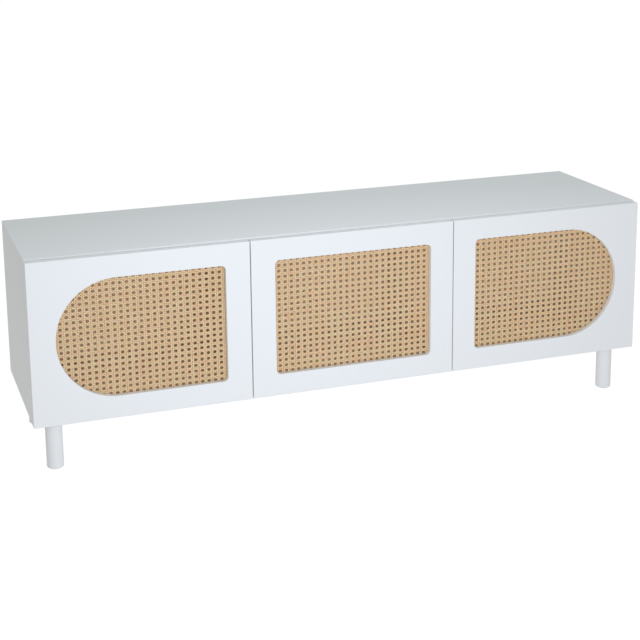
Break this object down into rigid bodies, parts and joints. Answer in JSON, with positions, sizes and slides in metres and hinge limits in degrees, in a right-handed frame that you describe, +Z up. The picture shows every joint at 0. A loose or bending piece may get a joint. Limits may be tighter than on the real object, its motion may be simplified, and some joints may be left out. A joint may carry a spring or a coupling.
{
  "type": "tv cabinet",
  "caption": "Low white television cabinet on round legs, with push-to-open doors that hold panels of woven cane in rounded openings.",
  "frame": {"origin": "on the floor, at the middle of the width and of the depth", "axes": "+X along the front to the right, +Y from the doors to the back, +Z up"},
  "size_m": [1.5, 0.395, 0.495],
  "materials": {
    "white_lacquer": "satin white lacquer on board",
    "leg_lacquer": "satin white lacquer on turned wood",
    "cane": "woven natural cane, semi matt",
    "backing_board": "white faced hardboard, matt",
    "nickel": "nickel plated pressed steel",
    "zinc": "zinc plated steel, satin",
    "white_plastic": "moulded white plastic"
  },
  "bodies": {
    "carcass": {"top_panel": "white_lacquer", "bottom_panel": "white_lacquer", "left_side_panel": "white_lacquer", "right_side_panel": "white_lacquer", "left_partition": "white_lacquer", "right_partition": "white_lacquer", "back_panel": "backing_board", "front_left_leg": "leg_lacquer", "front_left_leg_plate": "zinc", "rear_left_leg": "leg_lacquer", "rear_left_leg_plate": "zinc", "front_right_leg": "leg_lacquer", "front_right_leg_plate": "zinc", "rear_right_leg": "leg_lacquer", "rear_right_leg_plate": "zinc", "left_lower_hinge_arm": "nickel", "left_lower_hinge_plate": "zinc", "left_upper_hinge_arm": "nickel", "left_upper_hinge_plate": "zinc", "left_latch_housing": "white_plastic", "middle_lower_hinge_arm": "nickel", "middle_lower_hinge_plate": "zinc", "middle_upper_hinge_arm": "nickel", "middle_upper_hinge_plate": "zinc", "middle_latch_housing": "white_plastic", "right_lower_hinge_arm": "nickel", "right_lower_hinge_plate": "zinc", "right_upper_hinge_arm": "nickel", "right_upper_hinge_plate": "zinc", "right_latch_housing": "white_plastic"},
    "left_door_body": {"left_door": "white_lacquer", "left_cane": "cane", "left_cane_retainer": "backing_board", "left_lower_hinge_cup": "nickel", "left_upper_hinge_cup": "nickel", "left_strike_plate": "zinc"},
    "left_hinge_links": {"left_lower_hinge_link": "nickel", "left_upper_hinge_link": "nickel"},
    "left_plunger_body": {"left_latch_plunger": "white_plastic"},
    "middle_door_body": {"middle_door": "white_lacquer", "middle_cane": "cane", "middle_cane_retainer": "backing_board", "middle_lower_hinge_cup": "nickel", "middle_upper_hinge_cup": "nickel", "middle_strike_plate": "zinc"},
    "middle_hinge_links": {"middle_lower_hinge_link": "nickel", "middle_upper_hinge_link": "nickel"},
    "middle_plunger_body": {"middle_latch_plunger": "white_plastic"},
    "right_door_body": {"right_door": "white_lacquer", "right_cane": "cane", "right_cane_retainer": "backing_board", "right_lower_hinge_cup": "nickel", "right_upper_hinge_cup": "nickel", "right_strike_plate": "zinc"},
    "right_hinge_links": {"right_lower_hinge_link": "nickel", "right_upper_hinge_link": "nickel"},
    "right_plunger_body": {"right_latch_plunger": "white_plastic"}
  },
  "joints": [
    {"name": "left_door_hinge", "type": "hinge", "parent": "carcass", "child": "left_door_body", "pos_m": [-0.744, -0.1925, 0.305], "axis": [0, 0, -1], "range_deg": [0, 100]},
    {"name": "left_link_hinge", "type": "hinge", "parent": "carcass", "child": "left_hinge_links", "pos_m": [-0.718, -0.1857, 0.305], "axis": [0, 0, 1], "range_deg": [0, 40.5]},
    {"name": "left_plunger_slide", "type": "slide", "parent": "carcass", "child": "left_plunger_body", "axis": [0, -1, 0], "range_m": [0, 0.0201]},
    {"name": "middle_door_hinge", "type": "hinge", "parent": "carcass", "child": "middle_door_body", "pos_m": [-0.24333, -0.1925, 0.305], "axis": [0, 0, -1], "range_deg": [0, 100]},
    {"name": "middle_link_hinge", "type": "hinge", "parent": "carcass", "child": "middle_hinge_links", "pos_m": [-0.21733, -0.1857, 0.305], "axis": [0, 0, 1], "range_deg": [0, 40.5]},
    {"name": "middle_plunger_slide", "type": "slide", "parent": "carcass", "child": "middle_plunger_body", "axis": [0, -1, 0], "range_m": [0, 0.0201]},
    {"name": "right_door_hinge", "type": "hinge", "parent": "carcass", "child": "right_door_body", "pos_m": [0.744, -0.1925, 0.305], "axis": [0, 0, 1], "range_deg": [0, 100]},
    {"name": "right_link_hinge", "type": "hinge", "parent": "carcass", "child": "right_hinge_links", "pos_m": [0.718, -0.1857, 0.305], "axis": [0, 0, -1], "range_deg": [0, 40.5]},
    {"name": "right_plunger_slide", "type": "slide", "parent": "carcass", "child": "right_plunger_body", "axis": [0, -1, 0], "range_m": [0, 0.0201]}
  ],
  "couplings": [
    {"joint": "left_link_hinge", "follows": "left_door_hinge", "ratio": 0.4},
    {"joint": "left_plunger_slide", "follows": "left_door_hinge", "m_per_rad": 0.01145},
    {"joint": "middle_link_hinge", "follows": "middle_door_hinge", "ratio": 0.4},
    {"joint": "middle_plunger_slide", "follows": "middle_door_hinge", "m_per_rad": 0.01145},
    {"joint": "right_link_hinge", "follows": "right_door_hinge", "ratio": 0.4},
    {"joint": "right_plunger_slide", "follows": "right_door_hinge", "m_per_rad": 0.01145}
  ]
}
